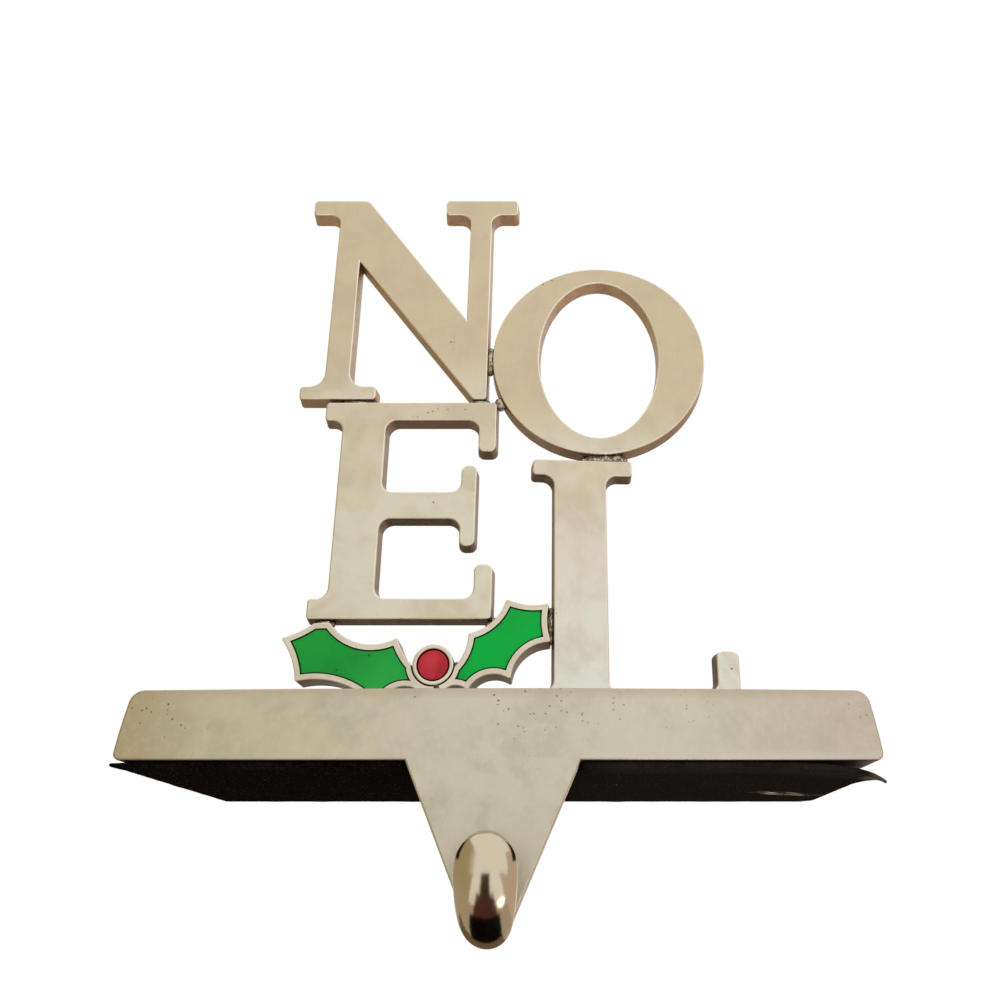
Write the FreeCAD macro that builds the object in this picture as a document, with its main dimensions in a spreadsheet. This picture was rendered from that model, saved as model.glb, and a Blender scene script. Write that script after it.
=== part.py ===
import FreeCAD, Part
import os
import re
import Sketcher

# Stocking holder for a mantel shelf: a heavy cast bar with a hook hanging from its front edge,
# and a figure of four stacked letters and a holly sprig soldered together on its top.
# Frame: +X right, +Z up, the front faces -Y, the origin is the centre of the pad's underside.

Vector = FreeCAD.Vector
doc = FreeCAD.newDocument("StockingHolder")
sheet = doc.addObject("Spreadsheet::Sheet", "Dims")

# Driving dimensions in millimetres, one sheet row each
DIMENSIONS = {
    # Felt pad
    "pad_thickness": 1.5, "pad_inset": 0.8, "pad_setback": 0.9, "pad_corner": 1.2, "notch_gap": 0.6,
    # Cast bar
    "bar_width": 161.0, "bar_depth": 76.0, "bar_height": 14.6, "bar_end_inset": 2.3,
    "bar_crown": 0.5, "bar_end_bulge": 0.25, "bar_shoulder": 3.2, "bar_foot_round": 1.5, "cast_edge": 0.5,
    # Hanging tab on the front of the bar
    "tab_centre": -1.1, "tab_width": 36.6, "tab_drop": 33.4, "tab_tip_width": 7.2, "tab_thickness": 5.0,
    "tab_tip_round": 3.0,
    # Hook finger
    "hook_bend": 11.0, "hook_bend_out": 1.3, "hook_bend_drop": 21.6, "hook_width": 12.2, "hook_thick": 8.6,
    "hook_root_width": 6.6, "hook_root_thick": 5.6, "hook_tip_rise": 7.0,
    # Letter castings
    "letter_depth": 5.0, "letter_draft": 4.0, "letter_edge": 0.45, "solder_gap": 1.1,
    "corner_round": 1.1, "serif_round": 1.9, "bracket": 3.0,
    # Letter E
    "e_right": -4.8, "e_width": 47.5, "e_height": 62.2, "e_overhang": 5.0, "e_stem": 12.0, "e_arm": 5.5,
    "e_mid_arm": 7.6, "e_mid_rise": 31.4, "e_top_lip": 15.0, "e_lip_width": 4.8, "e_foot_lip": 14.8,
    "e_mid_reach": 42.5, "e_mid_lip": 23.1, "e_mid_lip_width": 4.1,
    # Letter N
    "n_right": -0.1, "n_width": 61.7, "n_height": 67.9, "n_stem": 7.0, "n_left_overhang": 8.2,
    "n_foot_left": 6.6, "n_foot_width": 21.3, "n_foot": 4.0, "n_serif": 5.3, "n_right_stem": 6.4,
    "n_right_overhang": 7.7, "n_right_serif": 21.6, "n_apex": 16.4, "n_apex_round": 3.0,
    "n_join_drop": 42.3, "n_vertex": 3.8, "n_inner_drop": 22.0, "n_foot_bracket": 4.4,
    # Letter O
    "o_width": 60.0, "o_side_wall": 13.05, "o_foot_wall": 4.95, "o_side_gap": 1.5, "o_foot_gap": 1.9,
    # Letter L
    "l_stem_left": 11.2, "l_stem": 14.0, "l_head_drop": 17.7, "l_overhang": 5.8, "l_serif_width": 26.9,
    "l_serif": 4.4, "l_arm": 5.5, "l_width": 53.0, "l_lip": 16.4, "l_lip_width": 5.7, "l_turn": 3.5,
    "l_foot_gap": 0.6,
    # Holly sprig
    "leaf_depth": 8.0, "leaf_rim": 1.45, "leaf_edge": 0.3, "spike_round": 0.5,
    "enamel_recess": 0.9, "enamel_shy": 0.2, "leaf_lift": 1.0, "leaf_top": 23.3, "leaf_e_gap": 1.4,
    "berry_from_l": 30.15, "berry_rise": 12.6, "berry_radius": 4.1, "cup_radius": 5.15, "cup_gap": 0.35,
    "berry_recess": 1.0, "berry_dome": 0.5, "leaf_l_gap": 0.7,
    # Solder
    "bead_sink": 0.9, "bead_depth": 3.4,
}
# Holly leaf points, counterclockwise: name, what x is measured from, x, height, hollow of the next side
LEFT_LEAF = [
    ("tip", "e_left", -5.3, 19.4, 0.9), ("low", "e_left", -0.8, 8.35, 3.3),
    ("heel", "berry_x", -12.9, 1.0, 5.9), ("stalk", "berry_x", -0.6, 1.5, 0.1),
    ("neck", "berry_x", 0.9, 8.4, 1.75), ("crown", "berry_x", -9.3, 19.5, 3.4),
    ("top_right", "e_left", 6.8, 23.3, -0.1), ("top_left", "e_left", 2.6, 23.2, 0.4),
]
RIGHT_LEAF = [
    ("stalk", "berry_x", 2.35, 4.6, 2.1), ("heel", "berry_x", 8.8, 6.0, 2.7),
    ("low", "l_stem_left", -10.7, 8.8, 2.8), ("side", "l_stem_left", -0.7, 18.4, 0.75),
    ("tip", "l_stem_left", -1.1, 28.6, 1.0), ("crown", "l_stem_left", -12.1, 29.7, 1.9),
    ("back", "l_stem_left", -21.5, 20.6, 2.1), ("neck", "berry_x", 0.95, 8.9, 0.1),
]
for leaf, points in (("left", LEFT_LEAF), ("right", RIGHT_LEAF)):
    for name, anchor, x, height, hollow in points:
        DIMENSIONS["%s_%s_across" % (leaf, name)] = x
        DIMENSIONS["%s_%s_height" % (leaf, name)] = height
        DIMENSIONS["%s_%s_hollow" % (leaf, name)] = hollow

for number, (alias, value) in enumerate(DIMENSIONS.items(), start=1):
    sheet.set("A%d" % number, alias)
    sheet.set("B%d" % number, str(value))
    sheet.setAlias("B%d" % number, alias)
doc.recompute()

# Places that several pieces share, each worked out from the driving dimensions
PLACES = {
    "front_y": "(-bar_depth / 2)",
    "ledge": "(pad_thickness + bar_height + bar_crown)",
    "e_left": "(e_right - e_width)",
    "e_foot": "(ledge + leaf_top + leaf_e_gap)",
    "e_head": "(e_foot + e_height)",
    "n_left": "(n_right - n_width)",
    "n_base": "(e_head + solder_gap)",
    "n_head": "(n_base + n_height)",
    "n_side": "(n_right - n_right_overhang)",
    "l_base": "(ledge + l_foot_gap)",
    "l_height": "(e_head - l_head_drop - l_base)",
    "l_head": "(l_base + l_height)",
    "l_middle": "(l_stem_left + l_stem / 2)",
    "o_counter_width": "(o_width - 2 * o_side_wall)",
    "o_counter_height": "(o_width - 2 * o_foot_wall)",
    "o_middle": "(n_side + o_side_gap + o_width / 2)",
    "o_centre_z": "(l_head + o_foot_gap + o_width / 2)",
    "berry_x": "(l_stem_left - berry_from_l)",
    "berry_z": "(ledge + berry_rise)",
}


def link(text):
    """Turn plain names in a formula into references to the sheet."""
    def swap(match):
        word = match.group(0)
        if word in PLACES:
            return link(PLACES[word])
        return "Dims." + word if word in DIMENSIONS else word
    return re.sub(r"[a-z][a-z_]*[a-z]", swap, text)


def read(text):
    """Value of a formula, for first positions and for finding edges."""
    return float(sheet.evalExpression(link(text)))


def bind(item, **formulas):
    """Bind properties of one object to formulas; a double underscore stands for a dot."""
    for name, formula in formulas.items():
        item.setExpression(name.replace("__", "."), link(formula))


def origin_plane(body, role):
    return next(plane for plane in body.Origin.OriginFeatures if plane.Role == role)


def pin(sketch, geometry, which, x, z, tag):
    """Hold one point of a sketch at the formulas x and z."""
    for kind, formula in (("DistanceX", x), ("DistanceY", z)):
        index = sketch.addConstraint(Sketcher.Constraint(kind, -1, 1, geometry, which, read(formula)))
        label = "%s_%s" % (kind.lower(), tag)
        sketch.renameConstraint(index, label)
        sketch.setExpression("Constraints." + label, link(formula))


def outline(sketch, corners):
    """Closed outline through corners (x, z, round, hollow); a hollow makes the next side an arc.
    An arc that curves inwards runs clockwise, and its first point is the one at its far end."""
    count = len(corners)
    starts = []
    spots = [Vector(read(x), read(z), 0) for x, z, rounding, hollow in corners]
    for index, (x, z, rounding, hollow) in enumerate(corners):
        start, end = spots[index], spots[(index + 1) % count]
        depth = read(hollow) if hollow else 0
        if depth:
            chord = end - start
            inward = Vector(-chord.y, chord.x, 0).normalize()
            side = Part.Arc(start, (start + end) / 2 + inward * depth, end)
        else:
            side = Part.LineSegment(start, end)
        sketch.addGeometry(side)
        starts.append(2 if depth > 0 else 1)
    for index, (x, z, rounding, hollow) in enumerate(corners):
        following = (index + 1) % count
        joint = Sketcher.Constraint("Coincident", index, 3 - starts[index], following, starts[following])
        sketch.addConstraint(joint)
        pin(sketch, index, starts[index], x, z, str(index))
        if hollow and read(hollow):
            across, up = corners[following][:2]
            chord = "(((%s) - (%s))^2 + ((%s) - (%s))^2)" % (across, x, up, z)
            radius = "%s / (8 * abs(%s)) + abs(%s) / 2" % (chord, hollow, hollow)
            fixed = sketch.addConstraint(Sketcher.Constraint("Radius", index, read(radius)))
            sketch.renameConstraint(fixed, "radius_%d" % index)
            sketch.setExpression("Constraints.radius_%d" % index, link(radius))


def front_sketch(body, name, forward, across="0", turn=None):
    """Sketch on a plane that faces the front, a distance forward of the origin."""
    sketch = body.newObject("Sketcher::SketchObject", name)
    sketch.AttachmentSupport = [(origin_plane(body, "XZ_Plane"), "")]
    sketch.MapMode = "FlatFace"
    sketch.AttachmentOffset = FreeCAD.Placement(Vector(0, 0, 0), FreeCAD.Rotation(Vector(0, 1, 0), 0))
    bind(sketch, AttachmentOffset__Base__x=across, AttachmentOffset__Base__z=forward)
    if turn:
        bind(sketch, AttachmentOffset__Rotation__Angle=turn)
    doc.recompute()
    return sketch


def pad_back(body, name, sketch, depth, draft=None):
    """Thicken a front sketch towards the back, widening with the draft of the mould."""
    pad = body.newObject("PartDesign::Pad", name)
    pad.Profile = sketch
    pad.Reversed = True
    bind(pad, Length=depth)
    if draft:
        bind(pad, TaperAngle=draft)
    doc.recompute()
    return pad


def round_edges(body, name, base, radius, wanted):
    """Fillet every edge of a feature that the test picks."""
    edges = ["Edge%d" % (index + 1) for index, edge in enumerate(base.Shape.Edges) if wanted(edge)]
    fillet = body.newObject("PartDesign::Fillet", name)
    fillet.Base = (base, edges)
    bind(fillet, Radius=radius)
    doc.recompute()
    return fillet


def runs_back_from(sketch, corners, radius):
    """Test for the edges that run back from the corners which share one rounding."""
    spots = [sketch.Placement.multVec(Vector(read(x), read(z), 0))
             for x, z, rounding, hollow in corners if rounding == radius]

    def wanted(edge):
        ends = [vertex.Point for vertex in edge.Vertexes]
        if len(ends) < 2:
            return False
        direction = (ends[1] - ends[0]).normalize()
        normal = sketch.Placement.Rotation.multVec(Vector(0, 0, 1))
        along = abs(direction.dot(normal)) > 0.9
        return along and any(end.distanceToPoint(spot) < 1e-3 for end in ends for spot in spots)
    return wanted


def lies_in(sketch, back=0.0):
    """Test for the edges that lie in a sketch's plane, or a distance behind it."""
    def wanted(edge):
        first, last = edge.ParameterRange
        samples = [edge.valueAt(first + (last - first) * share) for share in (0, 0.37, 0.71, 1)]
        inside = sketch.Placement.inverse()
        return all(abs(inside.multVec(point).z + back) < 1e-4 for point in samples)
    return wanted


def rounded(body, sketch, base, corners):
    """Round the corners of a padded outline, one fillet feature for each radius."""
    for radius in sorted({corner[2] for corner in corners if corner[2]}):
        base = round_edges(body, body.Name + "_" + radius, base, radius, runs_back_from(sketch, corners, radius))
    return base


def casting(name, corners, depth, draft, edge, across="0", turn=None):
    """Flat casting with drafted sides, rounded corners and a softened front edge."""
    body = doc.addObject("PartDesign::Body", name)
    sketch = front_sketch(body, name + "_outline", depth + " / 2", across, turn)
    outline(sketch, corners)
    base = pad_back(body, name + "_pad", sketch, depth, draft)
    base = rounded(body, sketch, base, corners)
    round_edges(body, name + "_rim", base, edge, lies_in(sketch))
    return body, sketch


nodes = {}


def node(name, item):
    item.Label = name
    nodes[name] = item


# Base casting: bar with a crowned top and inclined ends
bar = doc.addObject("PartDesign::Body", "Bar")
bar_sketch = front_sketch(bar, "bar_outline", "bar_depth / 2")
bar_top = "pad_thickness + bar_height"
bar_corners = [
    ("-bar_width / 2", "pad_thickness", "bar_foot_round", None),
    ("bar_width / 2", "pad_thickness", "bar_foot_round", "-bar_end_bulge"),
    ("bar_width / 2 - bar_end_inset", bar_top, "bar_shoulder", "-bar_crown"),
    ("-bar_width / 2 + bar_end_inset", bar_top, "bar_shoulder", "-bar_end_bulge"),
]
outline(bar_sketch, bar_corners)
bar_pad = pad_back(bar, "bar_pad", bar_sketch, "bar_depth")
bar_rounded = rounded(bar, bar_sketch, bar_pad, bar_corners)

# Tab: a pointed plate that carries on down from the bar's front face
tab_sketch = front_sketch(bar, "tab_outline", "bar_depth / 2")
tab_reach = "(tab_width - tab_tip_width) / 2 / tab_drop * bar_height / 2"
tab_corners = [
    ("tab_centre - tab_tip_width / 2", "pad_thickness - tab_drop", "tab_tip_round", None),
    ("tab_centre + tab_tip_width / 2", "pad_thickness - tab_drop", "tab_tip_round", None),
    ("tab_centre + tab_width / 2 + " + tab_reach, "pad_thickness + bar_height / 2", None, None),
    ("tab_centre - tab_width / 2 - " + tab_reach, "pad_thickness + bar_height / 2", None, None),
]
outline(tab_sketch, tab_corners)
tab_pad = pad_back(bar, "tab_pad", tab_sketch, "tab_thickness")
tab_rounded = rounded(bar, tab_sketch, tab_pad, tab_corners)
front_rim = round_edges(bar, "bar_front_rim", tab_rounded, "cast_edge", lies_in(bar_sketch))
round_edges(bar, "bar_back_rim", front_rim, "cast_edge", lies_in(bar_sketch, read("bar_depth")))

# Hook finger: oval sections along a bend that leaves the tab's tip, comes forward and turns up
BEND_ANGLES = (-98, -75, -52, -28, 0)
DOME_STEPS = (0.42, 0.74, 0.93)
ovals = []


def oval(tag, width, thick, out, height, tilt):
    """One oval section, standing out from the front face, its plane tilted about X."""
    item = doc.addObject("Part::Ellipse", "oval_" + tag)
    item.Placement = FreeCAD.Placement(Vector(), FreeCAD.Rotation(Vector(1, 0, 0), tilt))
    bind(item, MajorRadius=width + " / 2", MinorRadius=thick + " / 2", Placement__Base__x="tab_centre",
         Placement__Base__y="front_y - (%s)" % out, Placement__Base__z="pad_thickness + (%s)" % height)
    ovals.append(item)


for angle in BEND_ANGLES:
    grown = (angle - BEND_ANGLES[0]) / (BEND_ANGLES[-1] - BEND_ANGLES[0])
    swell = (1 - (1 - grown) ** 2)
    oval("bend_%d" % len(ovals), "(hook_root_width + (hook_width - hook_root_width) * %.4f)" % swell,
         "(hook_root_thick + (hook_thick - hook_root_thick) * %.4f)" % swell,
         "hook_bend_out + hook_bend * cos(%d deg)" % angle,
         "hook_bend * sin(%d deg) - hook_bend_drop" % angle, -angle)
for step in DOME_STEPS:
    shrink = (1 - step ** 2) ** 0.5
    oval("dome_%d" % len(ovals), "(hook_width * %.4f)" % shrink, "(hook_thick * %.4f)" % shrink,
         "hook_bend_out + hook_bend", "hook_tip_rise * %.2f - hook_bend_drop" % step, 0)
crest = doc.addObject("Part::Vertex", "finger_crest")
bind(crest, X="tab_centre", Y="front_y - hook_bend_out - hook_bend",
     Z="pad_thickness + hook_tip_rise - hook_bend_drop")
ovals.append(crest)
finger = doc.addObject("Part::Loft", "Finger")
finger.Sections = ovals
finger.Solid = True
base_casting = doc.addObject("Part::Fuse", "BaseCasting")
base_casting.Base = bar
base_casting.Tool = finger
node("base_casting", base_casting)

# Letter E: a stem, three arms and their upright lips
e_stem_left = "e_left + e_overhang"
e_stem_right = "e_left + e_overhang + e_stem"
e_mid_right = "e_left + e_mid_reach"
e_mid = "e_foot + e_mid_rise"
e_corners = [
    ("e_left", "e_foot", "corner_round", None),
    ("e_right", "e_foot", "corner_round", None),
    ("e_right", "e_foot + e_foot_lip", "serif_round", None),
    ("e_right - e_lip_width", "e_foot + e_foot_lip", "serif_round", None),
    ("e_right - e_lip_width", "e_foot + e_arm", "bracket", None),
    (e_stem_right, "e_foot + e_arm", "bracket", None),
    (e_stem_right, e_mid + " - e_mid_arm / 2", "bracket", None),
    (e_mid_right + " - e_mid_lip_width", e_mid + " - e_mid_arm / 2", "bracket", None),
    (e_mid_right + " - e_mid_lip_width", e_mid + " - e_mid_lip / 2", "serif_round", None),
    (e_mid_right, e_mid + " - e_mid_lip / 2", "serif_round", None),
    (e_mid_right, e_mid + " + e_mid_lip / 2", "serif_round", None),
    (e_mid_right + " - e_mid_lip_width", e_mid + " + e_mid_lip / 2", "serif_round", None),
    (e_mid_right + " - e_mid_lip_width", e_mid + " + e_mid_arm / 2", "bracket", None),
    (e_stem_right, e_mid + " + e_mid_arm / 2", "bracket", None),
    (e_stem_right, "e_head - e_arm", "bracket", None),
    ("e_right - e_lip_width", "e_head - e_arm", "bracket", None),
    ("e_right - e_lip_width", "e_head - e_top_lip", "serif_round", None),
    ("e_right", "e_head - e_top_lip", "serif_round", None),
    ("e_right", "e_head", "corner_round", None),
    ("e_left", "e_head", "corner_round", None),
    ("e_left", "e_head - e_arm", "corner_round", None),
    (e_stem_left, "e_head - e_arm", "bracket", None),
    (e_stem_left, "e_foot + e_arm", "bracket", None),
    ("e_left", "e_foot + e_arm", "corner_round", None),
]
letter_e, e_sketch = casting("LetterE", e_corners, "letter_depth", "letter_draft", "letter_edge")
node("letter_e", letter_e)

# Letter N: two thin stems and a broad diagonal, with a pointed foot on the right
n_stem_left = "n_left + n_left_overhang"
n_stem_right = "n_left + n_left_overhang + n_stem"
n_foot_left = "n_left + n_left_overhang - n_foot_left"
n_inner = "n_side - n_right_stem"
n_corners = [
    (n_foot_left, "n_base", "corner_round", None),
    (n_foot_left + " + n_foot_width", "n_base", "corner_round", None),
    (n_foot_left + " + n_foot_width", "n_base + n_foot", "corner_round", None),
    (n_stem_right, "n_base + n_foot", "n_foot_bracket", None),
    (n_stem_right, "n_head - n_inner_drop", None, None),
    ("n_side - n_vertex", "n_base", "corner_round", None),
    ("n_side", "n_base", "corner_round", None),
    ("n_side", "n_head - n_serif", "bracket", None),
    ("n_right", "n_head - n_serif", "corner_round", None),
    ("n_right", "n_head", "corner_round", None),
    ("n_right - n_right_serif", "n_head", "corner_round", None),
    ("n_right - n_right_serif", "n_head - n_serif", "corner_round", None),
    (n_inner, "n_head - n_serif", "bracket", None),
    (n_inner, "n_head - n_join_drop", None, None),
    ("n_left + n_apex", "n_head", "n_apex_round", None),
    ("n_left", "n_head", "corner_round", None),
    ("n_left", "n_head - n_serif", "corner_round", None),
    (n_stem_left, "n_head - n_serif", "bracket", None),
    (n_stem_left, "n_base + n_foot", "n_foot_bracket", None),
    (n_foot_left, "n_base + n_foot", "corner_round", None),
]
letter_n, n_sketch = casting("LetterN", n_corners, "letter_depth", "letter_draft", "letter_edge")
node("letter_n", letter_n)

# Letter L: the post that carries the O, turned a little on its foot as it was soldered
l_right = "l_width - l_overhang - l_stem / 2"
l_serif_right = "l_serif_width - l_overhang - l_stem / 2"
l_corners = [
    ("-l_stem / 2 - l_overhang", "l_base", "corner_round", None),
    (l_right, "l_base", "corner_round", None),
    (l_right, "l_base + l_lip", "serif_round", None),
    (l_right + " - l_lip_width", "l_base + l_lip", "serif_round", None),
    (l_right + " - l_lip_width", "l_base + l_arm", "bracket", None),
    ("l_stem / 2", "l_base + l_arm", "bracket", None),
    ("l_stem / 2", "l_head - l_serif", "bracket", None),
    (l_serif_right, "l_head - l_serif", "corner_round", None),
    (l_serif_right, "l_head", "corner_round", None),
    ("-l_stem / 2 - l_overhang", "l_head", "corner_round", None),
    ("-l_stem / 2 - l_overhang", "l_head - l_serif", "corner_round", None),
    ("-l_stem / 2", "l_head - l_serif", "bracket", None),
    ("-l_stem / 2", "l_base + l_arm", "bracket", None),
    ("-l_stem / 2 - l_overhang", "l_base + l_arm", "corner_round", None),
]
letter_l, l_sketch = casting("LetterL", l_corners, "letter_depth", "letter_draft", "letter_edge",
                             "l_middle", "l_turn")
node("letter_l", letter_l)

# Letter O: a drafted disc with an upright oval counter
disc = doc.addObject("PartDesign::Body", "OutsideO")
disc_sketch = front_sketch(disc, "o_outline", "letter_depth / 2")
circle = Part.Circle(Vector(read("o_middle"), read("o_centre_z"), 0), Vector(0, 0, 1), read("o_width / 2"))
disc_sketch.addGeometry(circle)
pin(disc_sketch, 0, 3, "o_middle", "o_centre_z", "centre")
size = disc_sketch.addConstraint(Sketcher.Constraint("Radius", 0, read("o_width / 2")))
disc_sketch.renameConstraint(size, "rim_radius")
disc_sketch.setExpression("Constraints.rim_radius", link("o_width / 2"))
pad_back(disc, "o_pad", disc_sketch, "letter_depth", "letter_draft")
counter_ends = []
for side in (-1, 1):
    end = doc.addObject("Part::Ellipse", "counter_end_%d" % (len(counter_ends) + 1))
    upright = FreeCAD.Rotation(Vector(0, 0, 1), Vector(1, 0, 0), Vector(0, 1, 0))
    end.Placement = FreeCAD.Placement(Vector(), upright)
    taper = " - (%s) * letter_depth * tan(letter_draft * 1deg)" % (side + 0.5)
    bind(end, MajorRadius="o_counter_height / 2" + taper, MinorRadius="o_counter_width / 2" + taper,
         Placement__Base__x="o_middle", Placement__Base__y="(%d) * letter_depth" % side,
         Placement__Base__z="o_centre_z")
    counter_ends.append(end)
counter = doc.addObject("Part::Loft", "Counter")
counter.Sections = counter_ends
counter.Solid = True
ring = doc.addObject("Part::Cut", "Ring")
ring.Base = disc
ring.Tool = counter
doc.recompute()
letter_o = doc.addObject("PartDesign::Body", "LetterO")
letter_o.BaseFeature = ring
doc.recompute()
round_edges(letter_o, "o_rim", letter_o.Group[0], "letter_edge", lies_in(disc_sketch))
node("letter_o", letter_o)


def berry_cylinder(name, radius, depth, back):
    """Cylinder round the berry's centre, from a plane behind the figure's middle to the front."""
    item = doc.addObject("Part::Cylinder", name)
    item.Placement = FreeCAD.Placement(Vector(), FreeCAD.Rotation(Vector(1, 0, 0), 90))
    bind(item, Radius=radius, Height=depth, Placement__Base__x="berry_x", Placement__Base__y=back,
         Placement__Base__z="berry_z")
    return item


def cut(name, base, *tools):
    """Take one solid after another away from a base."""
    for number, tool in enumerate(tools):
        result = doc.addObject("Part::Cut", "%s_less_%d" % (name, number + 1))
        result.Base = base
        result.Tool = tool
        base = result
    return base


def sunk(name, field, low, high):
    """Solid that fills an outline between two distances in front of the figure's middle."""
    solid = doc.addObject("Part::Extrusion", name)
    solid.Base = field
    solid.DirMode = "Custom"
    solid.Dir = Vector(0, -1, 0)
    solid.Solid = True
    bind(solid, LengthFwd=high + " - leaf_depth / 2", LengthRev="leaf_depth / 2 - (" + low + ")")
    return solid


# Holly leaves: castings with concave sides between their spikes, and a sunk field of enamel
cup_room = berry_cylinder("CupRoom", "cup_radius + cup_gap", "2 * leaf_depth", "leaf_depth")
enamel_room = berry_cylinder("EnamelRoom", "cup_radius + cup_gap + leaf_rim * 0.8", "2 * leaf_depth", "leaf_depth")
for leaf, points in (("left", LEFT_LEAF), ("right", RIGHT_LEAF)):
    corners = [("%s + %s_%s_across" % (anchor, leaf, name), "ledge + %s_%s_height" % (leaf, name),
                "spike_round", "%s_%s_hollow" % (leaf, name)) for name, anchor, x, height, hollow in points]
    body, sketch = casting("Leaf" + leaf.title(), corners, "leaf_depth", None, "leaf_edge")
    field = doc.addObject("Part::Offset2D", "field_" + leaf)
    field.Source = sketch
    field.Join = 2
    bind(field, Value="-leaf_rim")
    recess = sunk("recess_" + leaf, field, "leaf_depth / 2 - enamel_recess", "leaf_depth")
    fill = sunk("fill_" + leaf, field, "leaf_depth / 2 - enamel_recess", "leaf_depth / 2 - enamel_shy")
    recess_trimmed = cut("recess_" + leaf, recess, enamel_room)
    node("holly_leaf_" + leaf, cut("leaf_" + leaf, body, recess_trimmed, cup_room))
    node("leaf_enamel_" + leaf, cut("fill_" + leaf, fill, enamel_room))

# Berry: a turned cup with a sunk, slightly domed disc of enamel
cup_blank = berry_cylinder("CupBlank", "cup_radius", "leaf_depth", "leaf_depth / 2")
cup_bore = berry_cylinder("CupBore", "berry_radius", "berry_recess", "-leaf_depth / 2 + berry_recess")
cup_hollow = cut("cup", cup_blank, cup_bore)
doc.recompute()
berry_cup = doc.addObject("PartDesign::Body", "BerryCup")
berry_cup.BaseFeature = cup_hollow
doc.recompute()
round_edges(berry_cup, "cup_rim", berry_cup.Group[0], "leaf_edge", lambda edge: (
    edge.CenterOfMass.y < read("-leaf_depth / 2 + leaf_edge") and len(edge.Vertexes) == 1))
node("berry_cup", berry_cup)
berry_disc = berry_cylinder("BerryDisc", "berry_radius", "berry_recess", "-leaf_depth / 2 + berry_recess")
berry_ball = doc.addObject("Part::Sphere", "BerryBall")
ball_radius = "(berry_radius^2 / berry_dome + berry_dome) / 2"
bind(berry_ball, Radius=ball_radius, Placement__Base__x="berry_x",
     Placement__Base__y="-leaf_depth / 2 + " + ball_radius, Placement__Base__z="berry_z")
berry = doc.addObject("Part::Common", "Berry")
berry.Base = berry_disc
berry.Tool = berry_ball
node("berry_enamel", berry)

# Underside pad: a sheet of felt cut round the tab
pad = doc.addObject("PartDesign::Body", "Pad")
pad_sketch = pad.newObject("Sketcher::SketchObject", "pad_outline")
pad_sketch.AttachmentSupport = [(origin_plane(pad, "XY_Plane"), "")]
pad_sketch.MapMode = "FlatFace"
pad_front = "front_y + pad_setback"
notch_back = "front_y + tab_thickness + notch_gap"
pad_corners = [
    ("-bar_width / 2 + pad_inset", pad_front, "pad_corner", None),
    ("tab_centre - tab_width / 2 - notch_gap", pad_front, None, None),
    ("tab_centre - tab_width / 2 - notch_gap", notch_back, None, None),
    ("tab_centre + tab_width / 2 + notch_gap", notch_back, None, None),
    ("tab_centre + tab_width / 2 + notch_gap", pad_front, None, None),
    ("bar_width / 2 - pad_inset", pad_front, "pad_corner", None),
    ("bar_width / 2 - pad_inset", "-front_y - pad_inset", "pad_corner", None),
    ("-bar_width / 2 + pad_inset", "-front_y - pad_inset", "pad_corner", None),
]
outline(pad_sketch, pad_corners)
felt = pad.newObject("PartDesign::Pad", "felt")
felt.Profile = pad_sketch
bind(felt, Length="pad_thickness")
doc.recompute()
rounded(pad, pad_sketch, felt, pad_corners)
node("underside_pad", pad)


def bead(name, x, z, along, across, turn, neighbours, depth="bead_depth"):
    """Solder bead: an ellipsoid in the gap between its neighbours, cut back to their faces."""
    drop = doc.addObject("Part::Ellipsoid", name + "_drop")
    drop.Angle1 = -90
    drop.Angle2 = 90
    drop.Placement = FreeCAD.Placement(Vector(), FreeCAD.Rotation(Vector(0, 1, 0), 0))
    bind(drop, Radius1=across, Radius2=along, Radius3=depth + " / 2", Placement__Rotation__Angle=turn,
         Placement__Base__x=x, Placement__Base__z=z)
    node(name, cut(name, drop, *[nodes[neighbour] for neighbour in neighbours]))


# Solder beads between the castings, named after the two that each one joins
corner_to_o = "sqrt((o_middle - e_right)^2 + (o_centre_z - e_head)^2)"
corner_step = "((%s - o_width / 2) / 2 / %s)" % (corner_to_o, corner_to_o)
bead("solder_n_foot_e", "e_left + 8.5", "n_base - solder_gap / 2", "6.5", "solder_gap / 2 + bead_sink", "0",
     ("letter_n", "letter_e"))
bead("solder_n_point_e", "n_side - n_vertex / 2", "n_base - solder_gap / 2", "3", "solder_gap / 2 + bead_sink",
     "0", ("letter_n", "letter_e"))
bead("solder_n_o", "n_side + o_side_gap / 2", "o_centre_z", "o_side_gap / 2 + bead_sink", "4.5", "0",
     ("letter_n", "letter_o"))
bead("solder_e_o", "e_right + (o_middle - e_right) * " + corner_step,
     "e_head + (o_centre_z - e_head) * " + corner_step, corner_to_o + " / 2 - o_width / 4 + bead_sink", "1.9",
     "-atan((o_centre_z - e_head) / (o_middle - e_right))", ("letter_e", "letter_o"))
bead("solder_o_l", "o_middle + 1.2", "l_head + o_foot_gap / 2", "6.5", "o_foot_gap / 2 + bead_sink + 0.3", "0",
     ("letter_o", "letter_l"))
bead("solder_e_leaf_left", "e_left + 4.7", "e_foot - leaf_e_gap / 2", "2.8", "leaf_e_gap / 2 + bead_sink", "0",
     ("letter_e", "holly_leaf_left"))
bead("solder_e_leaf_right", "e_right + 0.3", "e_foot - 0.9", "2.2", "1.6", "-45",
     ("letter_e", "holly_leaf_right"))
bead("solder_leaf_l", "l_stem_left - leaf_l_gap", "ledge + 23.4", "leaf_l_gap + bead_sink", "5", "0",
     ("holly_leaf_right", "letter_l"))
bead("solder_berry_leaf_left", "berry_x - (cup_radius + cup_gap / 2) * cos(40deg)",
     "berry_z - (cup_radius + cup_gap / 2) * sin(40deg)", "cup_gap / 2 + bead_sink", "2.6", "-40",
     ("berry_cup", "holly_leaf_left"), "leaf_depth * 0.7")
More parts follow.
